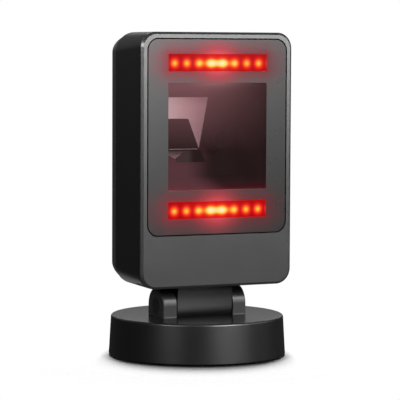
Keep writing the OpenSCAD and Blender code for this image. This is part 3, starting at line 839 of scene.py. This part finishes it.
def make_rear_cover():
    """The rounded rear cover, with its screw tubes and the opening for the cable socket."""
    back = REAR_HIGH.y
    outer = rear_rings(0, back)
    inner = rear_rings(WALL, back - WALL)
    piece = loft("rear_cover_moulding", inner[::-1] + outer)
    cuts = [
        rod("cut", SCREW_HEAD_R, (x, back - 5 * MM, z), (x, back + 2 * MM, z)) for x, z in REAR_SCREWS
    ]
    socket_low, socket_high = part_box("cable_socket")
    room = 0.35 * MM
    cuts.append(brick("cut", (socket_low.x - room, back - 8 * MM, socket_low.z - room),
                      (socket_high.x + room, back + 2 * MM, socket_high.z + room)))
    combine(piece, cuts, "DIFFERENCE")
    tubes = []
    for x, z in REAR_SCREWS:
        tube = rod("tube", REAR_TUBE_R, (x, HOUSING_HIGH.y - 0.2 * MM, z), (x, back - MM, z))
        bore = rod("cut", SCREW_HEAD_R, (x, 11 * MM, z), (x, back + MM, z))
        thin = rod("cut", SCREW_BORE_R, (x, 5 * MM, z), (x, 12 * MM, z))
        combine(tube, [bore, thin], "DIFFERENCE")
        tubes.append(tube)
    combine(piece, tubes, "UNION")
    soften(piece, 0.22 * MM, angle=33)
    place(piece, "head", "rear_cover", MATERIALS["case_black"])


def prism(name, outline, front, back):
    """A flat outline in X and Z, given in millimetres, between two places along Y."""
    rings = [[Vector((x * MM, y, z * MM)) for x, z in outline] for y in (front, back)]
    return loft(name, rings)


def make_engine():
    """The dark imager block seen through the window, with a thin pale strip along its lower edge, a painted
    highlight of that edge.
    """
    front = -6 * MM
    block = [(-17.5, 110.2), (-7.6, 110.2), (-1.9, 95.7), (-17.5, 95.7)]
    foot = [(-11.8, 91.5), (-10.4, 89.9), (3.4, 90), (1.3, 95.2), (-0.4, 96.2), (-6.6, 96.2), (-6.6, 95)]
    highlight_strip = [(-17.5, 96.5), (-3.2, 96.5), (-3.1, 96.2), (-17.5, 96.2)]
    piece = prism("imager_engine_block", block, front, 0)
    combine(piece, [prism("foot", foot, -1.2 * MM, 0)], "UNION")
    soften(piece, 0.22 * MM, segments=2)
    place(piece, "head", "imager_engine", engine_black)
    # Painted highlight: a pale strip, in the bracket's plastic with its painted glow, where the block's lower
    # edge catches light.
    piece = prism("imager_engine_lip", highlight_strip, front - 0.5 * MM, front)
    soften(piece, 0.08 * MM, segments=2)
    place(piece, "head", "imager_engine", MATERIALS["bracket_pale"])


def make_bracket_plate():
    """The pale plate behind the imager block, with the flange that carries it."""
    plate = [(-19, 120), (5.2, 120), (0.4, 95.6), (-6, 94.9), (-11.2, 91.5), (-15, 93.4), (-19, 95.4)]
    piece = prism("imager_bracket_plate", plate, 0, 1.2 * MM)
    combine(piece, [brick("flange", (-17 * MM, 1.1 * MM, 94 * MM), (-7 * MM, 3 * MM, 117 * MM))], "UNION")
    soften(piece, 0.1 * MM, segments=2)
    place(piece, "head", "imager_bracket", MATERIALS["bracket_pale"])


def knuckle_ring(radius, x, top, flare):
    """Half a circle under the hinge axis, whose legs lean outwards by flare towards the top."""
    steps = 40  # round the half circle
    legs = 8  # up each leg
    rise = [(i / legs, flare * (i / legs) ** 2) for i in range(1, legs + 1)]
    front = [Vector((x, -radius - out, HINGE_Z + (top - HINGE_Z) * up)) for up, out in rise[::-1]]
    under = [
        Vector((x, -radius * math.cos(math.pi * i / steps), HINGE_Z - radius * math.sin(math.pi * i / steps)))
        for i in range(steps + 1)
    ]
    back = [Vector((x, radius + out, HINGE_Z + (top - HINGE_Z) * up)) for up, out in rise]
    return front + under + back


def make_knuckle():
    """The hinge knuckle, with rounded ends and the bore for the bushes."""
    half = KNUCKLE_HIGH.x
    top = FRAME_LOW.z
    edge = KNUCKLE_EDGE
    profile = arc()
    rings = [
        knuckle_ring(KNUCKLE_R - edge * i, -half + edge * (1 - f), top, KNUCKLE_FLARE)
        for i, f in profile[::-1]
    ]
    rings += [
        knuckle_ring(KNUCKLE_R - edge * i, half - edge * (1 - f), top, KNUCKLE_FLARE) for i, f in profile
    ]
    piece = loft("hinge_knuckle_moulding", rings)
    bore = rod("cut", KNUCKLE_BORE_R, (-half - MM, 0, HINGE_Z), (half + MM, 0, HINGE_Z))
    combine(piece, [bore], "DIFFERENCE")
    for face in piece.data.polygons:
        face.use_smooth = True
    piece.data.set_sharp_from_angle(angle=math.radians(40))
    place(piece, "head", "hinge_knuckle", knuckle_black)


# ---------------------------------------------------------------- base

def make_base():
    """The round shell with its rounded edge, the two ears and the well under the knuckle."""
    low = BASE_LOW.z
    inside = PLATE_HIGH.x + 0.2 * MM
    rings = [
        circle(HUB_R, BASE_TOP - BASE_WALL),
        circle(BASE_R_TOP - BASE_WALL - 0.6 * MM, BASE_TOP - BASE_WALL),
        circle(BASE_R_LOW - BASE_WALL - MM, PLATE_HIGH.z),
        circle(inside, PLATE_HIGH.z),
        circle(inside, low),
        circle(BASE_R_LOW - 0.5 * MM, low),
        circle(BASE_R_LOW, low + 0.5 * MM),
    ]
    rings += [circle(BASE_R_TOP - BASE_EDGE * i, BASE_TOP - BASE_EDGE * (1 - f)) for i, f in arc(8)]
    rings.append(circle(HUB_R, BASE_TOP))
    piece = loft("base_shell_moulding", rings)

    reach = EAR_IN + 2 * MM
    well_wall = rod("well", WELL_R + 2 * MM, (-reach, 0, HINGE_Z), (reach, 0, HINGE_Z), 128)
    lid = brick("cut", (-30 * MM, -30 * MM, BASE_TOP - MM), (30 * MM, 30 * MM, 60 * MM))
    combine(well_wall, [lid], "DIFFERENCE")
    combine(piece, [well_wall], "UNION")

    foot = BASE_TOP - MM
    for side in (-1, 1):
        rings = [half_round(EAR_R, side * EAR_IN, foot)]
        rings += [
            half_round(EAR_R - EAR_EDGE * i, side * (EAR_OUT - EAR_EDGE * (1 - f)), foot) for i, f in arc()
        ]
        combine(piece, [loft("ear", rings)], "UNION")
    well = rod("cut", WELL_R, (-EAR_IN, 0, HINGE_Z), (EAR_IN, 0, HINGE_Z), 128)
    bore = rod("cut", PIN_BORE_R, (-30 * MM, 0, HINGE_Z), (30 * MM, 0, HINGE_Z))
    recesses = [
        rod("cut", CAP_R, (side * (EAR_OUT - 1.25 * MM), 0, HINGE_Z), (side * 30 * MM, 0, HINGE_Z), 64)
        for side in (-1, 1)
    ]
    combine(piece, [well, bore] + recesses, "DIFFERENCE")
    soften(piece, 0.25 * MM, angle=35)
    place(piece, "base", "base_shell", MATERIALS["base_black"])


# ---------------------------------------------------------------- stage, light and camera

def make_floor():
    """A pale floor round the base that fades out into the white surroundings. It has a light of its own, from
    above and behind, so that only the base's soft shadow shows on it, and its own glow fades out next to the
    base as a painted contact shadow."""
    bm = bmesh.new()
    rows = [[bm.verts.new(p) for p in circle(r, 0.0, 96)] for r in (MM, FLOOR_FADE / 2, FLOOR_FADE, FLOOR_R)]
    for a, b in zip(rows, rows[1:]):
        for i in range(len(a)):
            j = (i + 1) % len(a)
            bm.faces.new((a[i], b[i], b[j], a[j]))
    bm.faces.new(rows[0])
    floor = new_object("floor", bm)
    s = Shader("floor")
    s.set(Base_Color=(0.9, 0.9, 0.9, 1), Roughness=0.9, Specular_IOR_Level=0.0)
    s.set(Emission_Color=(1, 1, 1, 1))
    clear = s.add("ShaderNodeBsdfTransparent")
    blend = s.add("ShaderNodeMixShader")
    length = s.add("ShaderNodeVectorMath", operation="LENGTH")
    s.link(s.place, length.inputs[0])
    away = length.outputs["Value"]
    fade = s.between(away, (FLOOR_FADE, FLOOR_R - 5 * MM), (0.0, 1.0), smooth=True)
    # Painted contact shadow: the floor's own glow fades to nothing next to the base.
    fill_with_painted_shadow = s.between(away, (BASE_R_LOW + 0.5 * MM, BASE_R_LOW + 5.5 * MM), (0.0, FLOOR_FILL), smooth=True)
    s.link(fill_with_painted_shadow, s.principled.inputs["Emission Strength"])
    output = s.tree.nodes["Material Output"]
    s.link(fade, blend.inputs["Fac"])
    s.link(s.principled.outputs[0], blend.inputs[1])
    s.link(clear.outputs[0], blend.inputs[2])
    s.link(blend.outputs[0], output.inputs["Surface"])
    floor.data.materials.append(s.material)
    floor.visible_diffuse = False
    floor.visible_glossy = False
    return floor


def collect(name, pieces):
    """A collection of pieces, for light linking."""
    group = bpy.data.collections.new(name)
    for piece in pieces:
        group.objects.link(piece)
    return group


def share_light(floor, shadow_caster, some_only):
    """Keeps the studio lights off the floor and the floor's own light off the object. The lights
    named in some_only reach only the pieces listed there."""
    receivers = {name: collect(name + "_only", pieces) for name, pieces in some_only.items()}
    receivers[FLOOR_LIGHT[0]] = collect("floor_only", [floor])
    others = collect("all_but_floor", [floor])
    others.collection_objects[0].light_linking.link_state = "EXCLUDE"
    for lamp in bpy.context.scene.objects:
        if lamp.type == "LIGHT":
            lamp.light_linking.receiver_collection = receivers.get(lamp.name, others)
    blockers = collect("casters", [shadow_caster])
    bpy.data.objects[FLOOR_LIGHT[0]].light_linking.blocker_collection = blockers


def softbox(name, azimuth, height, width, tall, power):
    """A rectangular light at an azimuth from straight in front, towards +X."""
    light = bpy.data.lights.new(name, "AREA")
    light.shape = "RECTANGLE"
    light.size = width
    light.size_y = tall
    light.energy = power
    lamp = bpy.data.objects.new(name, light)
    turn = math.radians(azimuth)
    lamp.location = (LIGHT_REACH * math.sin(turn), -LIGHT_REACH * math.cos(turn), height)
    aim = Vector((0, 0, LIGHT_AIM)) - lamp.location
    lamp.rotation_euler = aim.to_track_quat("-Z", "Y").to_euler()
    lamp.visible_camera = False
    bpy.context.scene.collection.objects.link(lamp)


def make_world():
    """White where the camera sees it, and dim for what falls on the object."""
    world = bpy.data.worlds.new("studio")
    bpy.context.scene.world = world
    world.use_nodes = True
    tree = world.node_tree
    background = tree.nodes["Background"]
    path = tree.nodes.new("ShaderNodeLightPath")
    strength = tree.nodes.new("ShaderNodeMapRange")
    tree.links.new(path.outputs["Is Camera Ray"], strength.inputs["Value"])
    strength.inputs["To Min"].default_value = WORLD_FILL
    strength.inputs["To Max"].default_value = 1.0
    tree.links.new(strength.outputs["Result"], background.inputs["Strength"])
    background.inputs["Color"].default_value = (1, 1, 1, 1)


def make_camera():
    """Looks from the front left, a little above the middle of the head, as in the photograph."""
    data = bpy.data.cameras.new("camera")
    data.sensor_width = 36
    data.lens = CAMERA_LENS
    data.clip_start = 0.01
    camera = bpy.data.objects.new("camera", data)
    turn = CAMERA_FORWARD.normalized().to_track_quat("-Z", "Y").to_matrix().to_4x4()
    roll = Matrix.Rotation(math.radians(CAMERA_ROLL), 4, "Z")
    camera.matrix_world = Matrix.Translation(CAMERA_PLACE) @ turn @ roll
    bpy.context.scene.collection.objects.link(camera)
    bpy.context.scene.camera = camera


make_camera()
make_front_frame()
make_window_panel()
make_panel_tape()
make_main_housing()
make_rear_cover()
make_engine()
make_bracket_plate()
make_knuckle()
make_base()

for subpart in frame["record"]["subparts"]:
    node = frame["nodes"][subpart["node"]]
    node.data.materials.clear()
    # The hood and the lens barrel take the hood plastic with its painted glow of the lower strip's light.
    lit = subpart["node"] in ("optical_hood", "lens_barrel")
    node.data.materials.append(hood_lit if lit else MATERIALS[subpart["material_slot"]])

floor = make_floor()
make_world()
for row in LIGHTS + (FLOOR_LIGHT,):
    softbox(*row)
cover = [frame["nodes"][name] for name in ("rear_cover_screws", "cable_socket", "socket_contacts")]
cover.append(bpy.data.objects["rear_cover_moulding"])
rear = cover + [bpy.data.objects["main_housing_moulding"]]
share_light(
    floor,
    bpy.data.objects["base_shell_moulding"],
    {"back_low": rear, "back_under": rear, "back_side": cover},
)

view = bpy.context.scene.view_settings
view.view_transform = "Standard"
view.look = "None"
